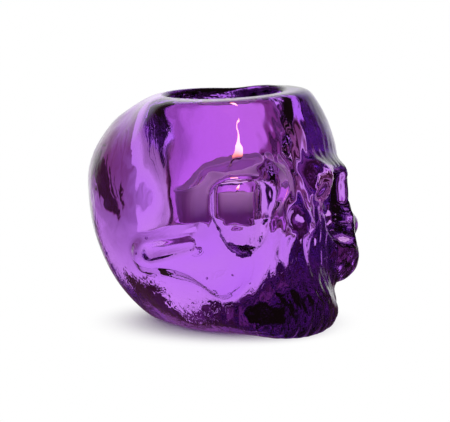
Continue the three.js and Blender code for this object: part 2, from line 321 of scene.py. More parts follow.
@dataclass(frozen=True)
class SkullShape:
    """The skull's outer surface as a field that is nought on the glass."""

    size: SkullSize = SkullSize()
    base_blend: float = 0.018
    crown: float = 0.9928
    crown_blend: float = 0.03
    ripple: float = 0.2
    ripple_floor: float = 1.2
    streak: float = 0.2
    lid_ripple: float = 0.55
    face_edge: tuple[float, float] = (-22, -36)
    streak_edge: tuple[float, float] = (62, 50)
    bridge: tuple[float, float] = (9, 46)
    bridge_reach: tuple[float, float] = (4.5, 11)
    lid: tuple[float, float] = (23, 39.5)
    lid_reach: tuple[float, float] = (7.5, 3.4)

    def waves(self, points: np.ndarray) -> np.ndarray:
        """Gives how deep the unevenness of hand-pressed glass goes, in millimetres.

        It is gentle all over, with short streaks down the face and ripples on the lids below the
        eyes.

        Args:
            points: Points in millimetres, one a row.

        Returns:
            The depth at each point.
        """
        x, y, z = points.T
        face = step_between(y, *self.face_edge)
        lower = 0.5 + 0.5 * step_between(z, *self.streak_edge)
        streaked = lower + soft_patch(points, self.bridge, self.bridge_reach)
        lids = soft_patch(points, self.lid, self.lid_reach)
        lids = lids * np.sin(1.9 * z + 1.2 * np.sin(0.7 * x))
        return (
            self.ripple * (self.ripple_floor + unevenness(points))
            + self.streak * face * streaked * chill_streaks(points)
            + self.lid_ripple * face * lids
        )

    def field(self, points: np.ndarray) -> np.ndarray:
        """Measures how far points lie outside the glass.

        Args:
            points: Points in millimetres, one a row.

        Returns:
            The distance of each point, below nought inside.
        """
        size = self.size
        folded = points - (0, size.setback, 0)
        folded[:, 0] = np.abs(folded[:, 0])
        total = BONES[0].field(folded, size)
        for bone in BONES[1:]:
            other = bone.field(folded, size)
            join = blended_max if bone.cut else blended_min
            total = join(total, -other if bone.cut else other, bone.blend * size.width)
        height = points[:, 2]
        total = total + self.waves(points)
        total = blended_max(total, -height, self.base_blend * size.width)
        crown = height - self.crown * size.height - size.rim_tilt * points[:, 0]
        return blended_max(total, crown, self.crown_blend * size.width)

    def walk(self, starts: np.ndarray, directions: np.ndarray) -> np.ndarray:
        """Walks from outside toward each start until it meets the surface.

        Args:
            starts: Points inside the glass or its well.
            directions: Unit vectors pointing out of them.

        Returns:
            The point of the surface along each direction.
        """
        rounds, stride = 40, 0.7
        reach = np.full(len(starts), float(self.size.length))
        for _ in range(rounds):
            reach -= stride * np.maximum(self.field(starts + reach[:, None] * directions), 0)
        return starts + reach[:, None] * directions

    def settle(self, points: np.ndarray, rounds: int) -> np.ndarray:
        """Moves points onto the surface the shortest way.

        Args:
            points: Points near the surface.
            rounds: How often to correct them.

        Returns:
            The moved points.
        """
        probe = 0.05
        for _ in range(rounds):
            steps = np.eye(3) * probe
            slope = np.stack(
                [self.field(points + step) - self.field(points - step) for step in steps], axis=1
            ) / (2 * probe)
            steep = (slope * slope).sum(axis=1) + 1e-9
            points = points - slope * (self.field(points) / steep)[:, None]
        return points


def mesh_object(name: str, bm: bmesh.types.BMesh) -> bpy.types.Object:
    """Makes a smooth object of a bmesh and frees it.

    Args:
        name: Name of the piece.
        bm: The finished bmesh.

    Returns:
        The new object, linked to the scene.
    """
    mesh = bpy.data.meshes.new(name)
    bm.to_mesh(mesh)
    bm.free()
    mesh.polygons.foreach_set("use_smooth", [True] * len(mesh.polygons))
    piece = bpy.data.objects.new(name, mesh)
    bpy.context.scene.collection.objects.link(piece)
    return piece


def turned(
    outline: list[tuple[float, float]], steps: int, ends: Ends = Ends.ON_AXIS
) -> bmesh.types.BMesh:
    """Spins an outline round the upright axis into a closed solid.

    Args:
        outline: Pairs of radius and height, in metres.
        steps: How many steps make the full turn.
        ends: Whether the outline runs from axis to axis or closes on itself.

    Returns:
        The closed bmesh with its faces pointing out.
    """
    bm = bmesh.new()
    verts = [bm.verts.new((radius, 0, height)) for radius, height in outline]
    edges = [bm.edges.new(pair) for pair in zip(verts, verts[1:])]
    if ends is Ends.RING:
        edges.append(bm.edges.new((verts[-1], verts[0])))
    bmesh.ops.spin(
        bm,
        geom=verts + edges,
        cent=(0, 0, 0),
        axis=(0, 0, 1),
        angle=FULL_TURN,
        steps=steps,
        use_merge=True,
    )
    bmesh.ops.remove_doubles(bm, verts=bm.verts, dist=1e-6)
    bmesh.ops.recalc_face_normals(bm, faces=bm.faces)
    return bm


def arc(
    centre: tuple[float, float], size: float, start: float, end: float, steps: int
) -> list[tuple[float, float]]:
    """Gives the points of an arc in an outline.

    Args:
        centre: Radius and height of the arc's centre.
        size: Radius of the arc.
        start: First angle in degrees.
        end: Last angle in degrees.
        steps: How many steps to take.

    Returns:
        Pairs of radius and height.
    """
    angles = [math.radians(start + (end - start) * i / steps) for i in range(steps + 1)]
    return [(centre[0] + size * math.cos(a), centre[1] + size * math.sin(a)) for a in angles]


class Shader:
    """A small builder for one material's or world's nodes."""

    def __init__(self, tree: bpy.types.NodeTree) -> None:
        """Starts from an emptied node tree."""
        self.tree = tree
        tree.nodes.clear()

    def add(self, kind: str, **sockets: object) -> bpy.types.Node:
        """Adds a node and fills its inputs.

        Args:
            kind: The node's type name, without the ShaderNode prefix.
            **sockets: Node properties, or inputs by name with _ for a space, or by number after
                an i, as values or outputs.

        Returns:
            The new node.
        """
        node = self.tree.nodes.new("ShaderNode" + kind)
        for key, value in sockets.items():
            if key.islower() and hasattr(node, key):
                setattr(node, key, value)
                continue
            numbered = key[0] == "i" and key[1:].isdigit()
            socket = node.inputs[int(key[1:]) if numbered else key.replace("_", " ")]
            if isinstance(value, bpy.types.NodeSocket):
                self.tree.links.new(value, socket)
            else:
                socket.default_value = value
        return node

    def math(self, operation: str, a: object, b: object = 0.0) -> bpy.types.NodeSocket:
        """Adds a Math node and gives its result."""
        return self.add("Math", operation=operation, i0=a, i1=b).outputs[0]

    def product(self, *values: object) -> bpy.types.NodeSocket:
        """Multiplies values with Math nodes.

        Args:
            *values: Numbers or outputs.

        Returns:
            The product.
        """
        result = values[0]
        for value in values[1:]:
            result = self.math("MULTIPLY", result, value)
        return result

    def along(self, direction: object, axis: Triple) -> bpy.types.NodeSocket:
        """Adds a dot product with an axis and gives its result."""
        node = self.add("VectorMath", operation="DOT_PRODUCT", i0=direction, i1=axis)
        return node.outputs["Value"]

    def mix(self, share: object, a: object, b: object) -> bpy.types.NodeSocket:
        """Adds a mix of two numbers and gives its result."""
        return self.add("Mix", data_type="FLOAT", i0=share, i2=a, i3=b).outputs[0]

    def smooth(
        self, value: object, start: float, end: float, low: float = 0.0, high: float = 1.0
    ) -> bpy.types.NodeSocket:
        """Adds a smooth step.

        Args:
            value: The value that the step reads.
            start: Where the step begins.
            end: Where it ends, which may lie below the start.
            low: Result before the step.
            high: Result after the step.

        Returns:
            The step's result.
        """
        if end < start:
            start, end, low, high = end, start, high, low
        node = self.add(
            "MapRange", interpolation_type="SMOOTHSTEP", Value=value, i1=start, i2=end, i3=low,
            i4=high,
        )
        return node.outputs[0]

    def ramp(self, factor: object, stops: list[tuple[float, tuple]]) -> bpy.types.NodeSocket:
        """Adds a colour ramp.

        Args:
            factor: The value that the ramp reads.
            stops: Pairs of position and colour.

        Returns:
            The ramp's colour.
        """
        node = self.add("ValToRGB", Fac=factor)
        elements = node.color_ramp.elements
        while len(elements) < len(stops):
            elements.new(0.5)
        for element, (position, colour) in zip(elements, stops):
            element.position = position
            element.color = (*colour, 1)
        return node.outputs["Color"]


def new_group(name: str, takes: dict[str, str], gives: dict[str, str]) -> tuple[Shader, dict, dict]:
    """Makes an empty node group that materials and the world share.

    Args:
        name: Name of the group.
        takes: Names and socket types of its inputs.
        gives: Names and socket types of its outputs.

    Returns:
        The builder of its nodes, its inputs as outputs to read, and the ends to link to.
    """
    tree = bpy.data.node_groups.new(name, "ShaderNodeTree")
    for way, sockets in (("INPUT", takes), ("OUTPUT", gives)):
        for label, kind in sockets.items():
            tree.interface.new_socket(label, in_out=way, socket_type="NodeSocket" + kind)
    shader = Shader(tree)
    inside = tree.nodes.new("NodeGroupInput").outputs
    outside = tree.nodes.new("NodeGroupOutput").inputs
    return shader, {k: inside[k] for k in takes}, {k: outside[k] for k in gives}


def new_material(name: str) -> tuple[bpy.types.Material, Shader]:
    """Makes an empty node material.

    Args:
        name: Name of the material.

    Returns:
        The material and the builder of its nodes.
    """
    material = bpy.data.materials.new(name)
    material.use_nodes = True
    return material, Shader(material.node_tree)


def dress(piece: bpy.types.Object, material: bpy.types.Material) -> None:
    """Gives a piece its one material."""
    piece.data.materials.clear()
    piece.data.materials.append(material)


@dataclass(frozen=True)
class VioletGlass:
    """Clear violet glass, a little wavy, that darkens with depth."""

    surface: Triple = (0.88, 0.47, 1.0)
    tint: Triple = (0.54, 0.0, 0.98)
    density: float = 10.8
    ior: float = 1.52
    wave_scale: float = 70
    wave_height: float = 0.00007
    ripple_scale: float = 250
    ripple_height: float = 0.00042
    back_edge: tuple[float, float] = (0.012, 0.034)
    back_share: float = 0.6
    low_edge: tuple[float, float] = (0.028, 0.014)
    face_edge: tuple[float, float] = (-0.026, -0.040)
    mouth_edge: tuple[float, float] = (0.050, 0.036)
    mouth_share: float = 0.7

    def build(self) -> bpy.types.Material:
        """Makes the material.

        Returns:
            The material, ready for a piece.
        """
        material, shader = new_material("skull_glass")
        place = shader.add("TexCoord").outputs["Object"]
        flow = shader.add("Mapping", Vector=place, Scale=(1, 1, 2.2)).outputs[0]
        wave = shader.add(
            "TexNoise", Vector=flow, Scale=self.wave_scale, Detail=1.5, Distortion=0.6
        )
        waved = shader.add(
            "Bump", Strength=1.0, Distance=self.wave_height, Height=wave.outputs["Fac"]
        )
        _, depthways, upward = shader.add("SeparateXYZ", Vector=place).outputs
        back = shader.smooth(depthways, *self.back_edge, 0.0, self.back_share)
        low = shader.smooth(upward, *self.low_edge)
        mouth = shader.smooth(upward, *self.mouth_edge, 0.0, self.mouth_share)
        front = shader.product(shader.smooth(depthways, *self.face_edge), mouth)
        rough_part = shader.math("MAXIMUM", shader.math("MAXIMUM", back, low), front)
        flow = shader.add("Mapping", Vector=place, Scale=(1, 1, 0.7)).outputs[0]
        ripple = shader.add(
            "TexNoise", Vector=flow, Scale=self.ripple_scale, Detail=1.2, Distortion=0.8
        )
        bump = shader.add(
            "Bump",
            Strength=shader.smooth(rough_part, 0.0, 1.0, 0.06, 1.0),
            Distance=self.ripple_height,
            Height=ripple.outputs["Fac"],
            Normal=waved.outputs[0],
        )
        glass = shader.add(
            "BsdfPrincipled",
            Base_Color=(*self.surface, 1),
            Roughness=0.0,
            IOR=self.ior,
            Transmission_Weight=1.0,
            Normal=bump.outputs[0],
        )
        depth = shader.add("VolumeAbsorption", Color=(*self.tint, 1), Density=self.density)
        shader.add("OutputMaterial", Surface=glass.outputs[0], Volume=depth.outputs[0])
        return material


@dataclass(frozen=True)
class CupAluminium:
    """Thin drawn aluminium, satin, with faint drawing marks and a painted glow of the flame's
    light, strongest high up on the front.
    """

    colour: Triple = (0.72, 0.66, 0.78)
    roughness: float = 0.42
    painted_candle_light: Triple = (0.88, 0.88, 0.78)
    dim_below: float = 0.039
    bright_above: float = 0.052
    glow: float = 0.34
    painted_lit_side: tuple[float, float] = (-0.005, -0.013)
    far_share: float = 0.12

    def build(self) -> bpy.types.Material:
        """Makes the material.

        Returns:
            The material, ready for a piece.
        """
        material, shader = new_material("cup_aluminium")
        place = shader.add("TexCoord").outputs["Object"]
        fine = shader.add("Mapping", Vector=place, Scale=(1, 1, 0.08)).outputs[0]
        marks = shader.add("TexNoise", Vector=fine, Scale=900, Detail=2).outputs["Fac"]
        rough = shader.add(
            "MapRange", Value=marks, i3=self.roughness * 0.8, i4=self.roughness * 1.3
        )
        bump = shader.add("Bump", Strength=0.2, Distance=0.0001, Height=marks)
        axes = shader.add("SeparateXYZ", Vector=place).outputs
        # Painted light: an emission glow stands in for the flame's light on the cup. It climbs to
        # full strength near the top and is weaker on the far side.
        glow = shader.product(
            shader.smooth(axes[2], self.dim_below, self.bright_above, 0.0, self.glow),
            shader.smooth(axes[1], *self.painted_lit_side, self.far_share, 1.0),
        )
        painted_glow_colour = shader.add(
            "Mix", data_type="RGBA", i0=glow, i6=(0, 0, 0, 1), i7=(*self.painted_candle_light, 1)
        ).outputs[2]
        metal = shader.add(
            "BsdfPrincipled",
            Base_Color=(*self.colour, 1),
            Metallic=1.0,
            Roughness=rough.outputs[0],
            Normal=bump.outputs[0],
            Emission_Color=painted_glow_colour,
            Emission_Strength=1.0,
        )
        shader.add("OutputMaterial", Surface=metal.outputs[0])
        return material


@dataclass(frozen=True)
class TinnedSteel:
    """Dull tinned steel of the sustainer."""

    colour: Triple = (0.55, 0.55, 0.57)
    roughness: float = 0.38

    def build(self) -> bpy.types.Material:
        """Makes the material.

        Returns:
            The material, ready for a piece.
        """
        material, shader = new_material("sustainer_metal")
        place = shader.add("TexCoord").outputs["Object"]
        cloud = shader.add("TexNoise", Vector=place, Scale=400, Detail=3).outputs["Fac"]
        rough = shader.add(
            "MapRange", Value=cloud, i3=self.roughness * 0.7, i4=self.roughness * 1.4
        )
        metal = shader.add(
            "BsdfPrincipled", Base_Color=(*self.colour, 1), Metallic=1.0, Roughness=rough.outputs[0]
        )
        shader.add("OutputMaterial", Surface=metal.outputs[0])
        return material


@dataclass(frozen=True)
class TealightWax:
    """Wax darkened and tinted lilac as painted shade of the violet-lit well, melted clear and
    glossy round the wick.
    """

    # Painted shade: both wax colours are darkened and tinted lilac for the dim violet light in the
    # well.
    colour: Triple = (0.50, 0.34, 0.56)
    melted: Triple = (0.36, 0.20, 0.42)
    pool_radius: float = 0.0135

    def build(self) -> bpy.types.Material:
        """Makes the material.

        Returns:
            The material, ready for a piece.
        """
        material, shader = new_material("wax")
        place = shader.add("TexCoord").outputs["Object"]
        axes = shader.add("SeparateXYZ", Vector=place)
        flat = shader.add("CombineXYZ", X=axes.outputs[0], Y=axes.outputs[1]).outputs[0]
        radius = shader.add("VectorMath", operation="LENGTH", i0=flat).outputs["Value"]
        pool = shader.add(
            "MapRange", interpolation_type="SMOOTHSTEP", Value=radius,
            i1=self.pool_radius, i2=self.pool_radius * 0.9, i3=0.0, i4=1.0,
        ).outputs[0]
        grain = shader.add("TexNoise", Vector=place, Scale=350, Detail=4).outputs["Fac"]
        colour = shader.add(
            "Mix", data_type="RGBA", i0=pool, i6=(*self.colour, 1), i7=(*self.melted, 1)
        ).outputs[2]
        rough = shader.add("MapRange", Value=pool, i3=0.55, i4=0.08).outputs[0]
        bump = shader.add("Bump", Strength=0.15, Distance=0.0003, Height=grain)
        wax = shader.add(
            "BsdfPrincipled",
            Base_Color=colour,
            Roughness=rough,
            Subsurface_Weight=0.6,
            Subsurface_Radius=(0.004, 0.003, 0.002),
            Subsurface_Scale=1.0,
            Normal=bump.outputs[0],
        )
        shader.add("OutputMaterial", Surface=wax.outputs[0])
        return material


@dataclass(frozen=True)
class WickCotton:
    """Waxed cotton braid, charred at its tip."""

    colour: Triple = (0.72, 0.64, 0.50)
    char: Triple = (0.012, 0.010, 0.009)
    char_height: float = 0.0495

    def build(self) -> bpy.types.Material:
        """Makes the material.

        Returns:
            The material, ready for a piece.
        """
        material, shader = new_material("wick_cotton")
        place = shader.add("TexCoord").outputs["Object"]
        height = shader.add("SeparateXYZ", Vector=place).outputs[2]
        burnt = shader.add(
            "MapRange", interpolation_type="SMOOTHSTEP", Value=height,
            i1=self.char_height - 0.0012, i2=self.char_height + 0.0008,
        ).outputs[0]
        fibre = shader.add("TexNoise", Vector=place, Scale=2500, Detail=2).outputs["Fac"]
        colour = shader.add(
            "Mix", data_type="RGBA", i0=burnt, i6=(*self.colour, 1), i7=(*self.char, 1)
        ).outputs[2]
        bump = shader.add("Bump", Strength=0.5, Distance=0.0002, Height=fibre)
        cotton = shader.add(
            "BsdfPrincipled", Base_Color=colour, Roughness=0.85, Normal=bump.outputs[0]
        )
        shader.add("OutputMaterial", Surface=cotton.outputs[0])
        return material


@dataclass(frozen=True)
class FlameGlow:
    """The flame: clear and blue at its foot, orange above, then yellow white."""

    foot: float = 0.0478
    height: float = 0.017
    strength: float = 3.0

    def build(self) -> bpy.types.Material:
        """Makes the material.

        Returns:
            The material, ready for a piece.
        """
        material, shader = new_material("flame")
        place = shader.add("TexCoord").outputs["Object"]
        height = shader.add("SeparateXYZ", Vector=place).outputs[2]
        climb = shader.add(
            "MapRange", Value=height, i1=self.foot, i2=self.foot + self.height
        ).outputs[0]
        colour = shader.ramp(
            climb,
            [
                (0.0, (0.02, 0.03, 0.12)),
                (0.15, (0.16, 0.05, 0.05)),
                (0.3, (0.8, 0.35, 0.12)),
                (0.5, (1.0, 0.80, 0.50)),
                (0.92, (1.0, 0.70, 0.35)),
            ],
        )
        glow = shader.add(
            "BsdfPrincipled",
            Base_Color=(0, 0, 0, 1),
            Roughness=1.0,
            Emission_Color=colour,
            Emission_Strength=self.strength,
            Alpha=shader.smooth(climb, 0.12, 0.42),
        )
        shader.add("OutputMaterial", Surface=glow.outputs[0])
        return material


@dataclass
class SkullCasting:
    """The one piece of glass, with its well."""

    shape: SkullShape = SkullShape()
    steps: int = 300
    rings: int = 150
    well_radius: float = 21
    well_flare: float = 0.5
    floor_height: float = 35
    corner: float = 1.5
    rim_round: float = 1.6
    core_height: float = 47
    core_setback: float = 17
    crowding: float = 0.45
    relax_rounds: int = 14
    hollow: float = 0.22
    hollow_waves: float = 0.2
    wall_waves: float = 0.2
    seeds: int = 26
    seed_radii: tuple[float, float] = (0.2, 0.65)
    seed_depths: tuple[float, float] = (1.5, 5)

    def turns(self) -> np.ndarray:
        """Gives the turn of each line of points, crowded toward the face."""
        turn = FULL_TURN * np.arange(self.steps) / self.steps
        return turn - self.crowding * np.sin(turn)

    def outer_lines(self, rim: np.ndarray, outward: np.ndarray) -> np.ndarray:
        """Finds the outer surface on rays that climb from under the base to the rim.

        Args:
            rim: The rim's points, one for each line.
            outward: Unit vectors of the lines.

        Returns:
            Points by line and ring.
        """
        radius = self.well_radius + self.well_flare + self.rim_round
        lowest = -math.atan2(self.core_height, self.well_radius * 0.75)
        highest = np.arctan2(rim[:, 2] - self.core_height, radius)
        share = np.arange(self.rings) / self.rings
        climb = lowest + (highest - lowest)[:, None] * share
        directions = outward[:, None, :] * np.cos(climb)[..., None]
        directions[..., 2] = np.sin(climb)
        starts = np.zeros_like(directions)
        starts[..., 1] = self.core_setback * np.cos(climb) ** 2
        starts[..., 2] = self.core_height
        found = self.shape.walk(starts.reshape(-1, 3), directions.reshape(-1, 3))
        return found.reshape(directions.shape)

    def relax(self, lines: np.ndarray) -> np.ndarray:
        """Evens out the points between the base and the rim, and keeps them on the surface.

        Args:
            lines: Points by line and ring, with the first and last ring fixed.

        Returns:
            The evened points.
        """
        for _ in range(self.relax_rounds):
            around = np.roll(lines, 1, axis=0) + np.roll(lines, -1, axis=0)
            middle = around[:, 1:-1] + lines[:, :-2] + lines[:, 2:]
            moved = self.shape.settle((middle / 4).reshape(-1, 3), 1)
            lines[:, 1:-1] = moved.reshape(middle.shape)
        moved = self.shape.settle(lines[:, 1:-1].reshape(-1, 3), 3)
        lines[:, 1:-1] = moved.reshape(lines[:, 1:-1].shape)
        return lines

    def well_lines(self, rim: np.ndarray, outward: np.ndarray) -> np.ndarray:
        """Gives the rim's rounding, the well's wall and its floor.

        Args:
            rim: The rim's points, one for each line.
            outward: Unit vectors of the lines.

        Returns:
            Points by line and ring, from the rim to the middle of the floor.
        """
        mouth = self.well_radius + self.well_flare
        rounding = arc((mouth + self.rim_round, -self.rim_round), self.rim_round, 90, 180, 8)
        radii = [radius for radius, _ in rounding]
        heights = [rim[:, 2] + height for _, height in rounding]
        wall_top, corner_top, wall_rows = heights[-1], self.floor_height + self.corner, 30
        for i in range(1, wall_rows):
            share = 1 - i / wall_rows
            radii.append(self.well_radius + self.well_flare * share)
            heights.append(corner_top + (wall_top - corner_top) * share)
        foot = (self.well_radius - self.corner, corner_top)
        for radius, height in arc(foot, self.corner, 0, -90, 5):
            radii.append(radius)
            heights.append(np.full(self.steps, height))
        for share in (0.75, 0.5, 0.25, 0.0):
            radii.append((self.well_radius - self.corner) * share)
            heights.append(np.full(self.steps, self.floor_height))
        lines = outward[:, None, :] * np.array(radii)[None, :, None]
        lines[..., 2] = np.array(heights).T
        waves = unevenness(lines.reshape(-1, 3) * 0.9 + 7).reshape(lines.shape[:2])
        wall = np.clip((lines[..., 2] - self.floor_height) / 4, 0, 1) * (np.array(radii) > 5)
        lines[..., :2] *= 1 + (self.wall_waves * waves * wall / np.maximum(radii, 1))[..., None]
        return lines

    def lines(self) -> np.ndarray:
        """Works out every point of the casting.

        Returns:
            Points by line and ring, in millimetres, from under the base to the well's floor.
        """
        turn = self.turns()
        outward = np.stack([np.sin(turn), -np.cos(turn), np.zeros(self.steps)], axis=1)
        up = np.tile((0.0, 0.0, 1.0), (self.steps, 1))
        radius = self.well_radius + self.well_flare + self.rim_round
        rim = self.shape.walk(outward * radius, up)
        outer = self.outer_lines(rim, outward)
        outer = self.relax(np.concatenate([outer, rim[:, None, :]], axis=1))[:, :-1]
        waves = unevenness(outer.reshape(-1, 3) * 1.7 + 3).reshape(outer.shape[:2])
        rise = self.hollow + self.hollow_waves * waves
        edge = np.clip(np.roll(outer[..., 2], -4, axis=1), 0, 1)
        outer[..., 2] = np.where(outer[..., 2] < 0.02, rise * (1 - edge), outer[..., 2])
        middle = np.zeros((self.steps, 1, 3))
        return np.concatenate([middle, outer, self.well_lines(rim, outward)], axis=1)

    def add_seeds(self, bm: bmesh.types.BMesh, lines: np.ndarray) -> None:
        """Adds small closed bubbles of air just below the surface of the cheeks.

        Args:
            bm: The casting's skin.
            lines: Its points by line and ring, in metres.
        """
        chance = np.random.default_rng(7)
        skin = lines[:, : self.rings].reshape(-1, 3)
        x, y, z = skin.T / MM
        cheek = skin[(np.abs(x) > 12) & (y > -40) & (y < 5) & (z > 12) & (z < 38)]
        for start in cheek[chance.integers(0, len(cheek), self.seeds)]:
            inward = Vector((0, 12 * MM, 34 * MM)) - Vector(start)
            centre = Vector(start) + inward.normalized() * chance.uniform(*self.seed_depths) * MM
            radius = chance.uniform(*self.seed_radii) * MM
            seed = bmesh.ops.create_icosphere(bm, subdivisions=3, radius=radius)
            faces = {face for vert in seed["verts"] for face in vert.link_faces}
            bmesh.ops.reverse_faces(bm, faces=list(faces))
            bmesh.ops.translate(bm, verts=seed["verts"], vec=centre)

    def build(self, finish: bpy.types.Material) -> bpy.types.Object:
        """Spins the casting's skin and moves each point to its place.

        Args:
            finish: The glass.

        Returns:
            The finished piece.
        """
        lines = self.lines() * MM
        count = lines.shape[1]
        outline = [(math.sin(math.pi * i / (count - 1)) * MM, i * MM) for i in range(count)]
        outline[-1] = (0.0, (count - 1) * MM)
        bm = turned(outline, self.steps)
        for vert in bm.verts:
            ring = round(vert.co.z / MM)
            step = round(math.atan2(vert.co.y, vert.co.x) / FULL_TURN * self.steps) % self.steps
            vert.co = lines[step, ring]
        if bm.calc_volume(signed=True) < 0:
            bmesh.ops.reverse_faces(bm, faces=bm.faces)
        self.add_seeds(bm, lines)
        piece = mesh_object("violet_glass_skull", bm)
        dress(piece, finish)
        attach(piece, Body.HOLDER.value)
        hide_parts("glass_skull")
        return piece


@dataclass
class Tealight:
    """The aluminium cup with its wax, wick, sustainer and flame, in metres."""

    steps: int = 128
    bead: float = 0.5 * MM
    wall: float = 0.25 * MM
    flutes: int = 36
    flute_depth: float = 0.06 * MM
    flame_height: float = 16 * MM
    flame_radius: float = 1.3 * MM
    flame_drop: float = 2.6 * MM

    def __post_init__(self) -> None:
        """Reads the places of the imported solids."""
        self.cup_low, self.cup_high = (Vector(corner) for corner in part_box("tealight_cup"))
        self.wax_low, self.wax_high = (Vector(corner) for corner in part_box("wax"))
        self.wick_low, self.wick_high = (Vector(corner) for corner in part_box("wick"))
        self.flame_foot = self.wick_high.z - self.flame_drop

    def cup(self, finish: bpy.types.Material) -> bpy.types.Object:
        """Builds the drawn cup with its rolled rim, pressed foot and fluted wall.

        Args:
            finish: The aluminium.

        Returns:
            The finished piece.
        """
        foot, top = self.cup_low.z, self.cup_high.z
        outer = self.cup_high.x - self.bead
        base = outer - self.bead
        dish = 0.6 * MM
        under = base - 5.4 * MM
        bead_height = top - self.bead
        outline = [(0, foot + dish), (under - dish, foot + dish), (under, foot)]
        outline += [(base - 1.2 * MM, foot)]
        outline += arc((base - 0.8 * MM, foot + 0.8 * MM), 0.8 * MM, -80, 0, 5)
        wall_rows = 10
        rise = bead_height - 2 * self.bead - foot - 1.2 * MM
        for i in range(wall_rows + 1):
            share = i / wall_rows
            outline.append((base + (outer - base) * share, foot + 1.2 * MM + rise * share))
        outline += arc((outer, bead_height), self.bead, -70, 150, 12)
        outline += [(outer - self.wall, bead_height - 2 * self.bead)]
        outline += [(base - self.wall, foot + 1.2 * MM), (base - 1.2 * MM, foot + dish + self.wall)]
        outline += [(0, foot + dish + self.wall)]
        bm = turned(outline, self.steps)
        for vert in bm.verts:
            radius = math.hypot(vert.co.x, vert.co.y)
            share = (vert.co.z - foot) / (bead_height - foot)
            if radius > base - self.wall and 0.08 < share < 0.92:
                wave = math.cos(self.flutes * math.atan2(vert.co.y, vert.co.x))
                reach = self.flute_depth * wave * math.sin(math.pi * share)
                vert.co.xy *= 1 + (reach - self.flute_depth) / radius
        piece = mesh_object("cup", bm)
        dress(piece, finish)
        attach(piece, Body.CUP.value)
        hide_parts("tealight_cup")
        return piece

    def wax(self, finish: bpy.types.Material) -> bpy.types.Object:
        """Builds the wax with a melted pool that climbs a little at the wick and the rim.

        Args:
            finish: The wax.

        Returns:
            The finished piece.
        """
        low, high = self.wax_low.z, self.wax_high.z
        radius = self.wax_high.x
        bottom = radius - 0.35 * MM
        pool, hole = 13.5 * MM, 1.15 * MM
        depth = 0.7 * MM
        surface = []
        for i in range(25):
            share = i / 24
            reach = radius - 0.3 * MM + (hole - radius + 0.3 * MM) * share
            edge = np.clip((reach - pool) / (1.5 * MM), 0, 1)
            rise = edge * edge * (3 - 2 * edge)
            cling = 0.25 * MM * math.exp(-(reach - hole) / (0.7 * MM))
            surface.append((reach, high - depth * (1 - rise) + cling))
        outline = [(6.3 * MM, low), (bottom, low), (radius, high - 0.5 * MM)] + surface
        outline += [(hole, low + 4.3 * MM), (1.75 * MM, low + 4.15 * MM)]
        outline += [(1.75 * MM, low + 1.1 * MM), (6.3 * MM, low + 1.1 * MM)]
        piece = mesh_object("candle_wax", turned(outline, self.steps, Ends.RING))
        dress(piece, finish)
        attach(piece, Body.CANDLE.value)
        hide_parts("wax")
        return piece

    def wick(self, finish: bpy.types.Material) -> bpy.types.Object:
        """Builds the braided wick, curled over and thinner toward the tip.

        Args:
            finish: The cotton.

        Returns:
            The finished piece.
        """
        low, high = self.wick_low.z, self.wick_high.z
        radius, rows = 0.78 * MM, 60
        outline = [(0, low)]
        outline += [(radius, low + (high - 0.5 * MM - low) * i / rows) for i in range(rows + 1)]
        outline += [(radius * 0.6, high - 0.1 * MM), (0, high)]
        bm = turned(outline, 24)
        straight = self.wax_high.z
        lean = self.wick_high.x - 0.85 * MM
        for vert in bm.verts:
            turn = math.atan2(vert.co.y, vert.co.x)
            twist = vert.co.z / (1.6 * MM)
            braid = 0.07 * (math.sin(3 * turn + twist) + math.sin(3 * turn - twist)) / 2
            curl = max(0.0, (vert.co.z - straight) / (high - straight))
            vert.co.xy *= (1 - 0.07 + braid) * (1 - 0.15 * curl)
            vert.co.x += lean * curl * curl
        piece = mesh_object("braided_wick", bm)
        dress(piece, finish)
        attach(piece, Body.CANDLE.value)
        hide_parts("wick")
        return piece

    def flame(self, finish: bpy.types.Material) -> bpy.types.Object:
        """Builds the flame as a slender drop above the wick's tip.

        Args:
            finish: The glow.

        Returns:
            The finished piece.
        """
        foot = self.flame_foot
        outline = []
        rows = 40
        for i in range(rows + 1):
            share = i / rows
            swell = math.sin(math.pi * share**0.62) ** 0.9 * (1 - 0.35 * share)
            outline.append((self.flame_radius * max(0.0, swell), foot + self.flame_height * share))
        outline[0] = (0.0, foot)
        outline[-1] = (0.0, foot + self.flame_height)
        bm = turned(outline, 32)
        for vert in bm.verts:
            climb = (vert.co.z - foot) / self.flame_height
            vert.co.x += self.wick_high.x - 1.6 * MM + 0.8 * MM * climb
            vert.co.y -= 0.8 * MM * climb * climb
        piece = mesh_object("flame", bm)
        dress(piece, finish)
        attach(piece, Body.CANDLE.value)
        return piece

    def build(self) -> list[bpy.types.Object]:
        """Builds and dresses every piece of the tealight.

        Returns:
            The pieces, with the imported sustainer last.
        """
        pieces = [
            self.cup(CupAluminium().build()),
            self.wax(TealightWax().build()),
            self.wick(WickCotton().build()),
            self.flame(FlameGlow(foot=self.flame_foot, height=self.flame_height).build()),
        ]
        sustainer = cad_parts["wick_sustainer"]
        dress(sustainer, TinnedSteel().build())
        return pieces + [sustainer]


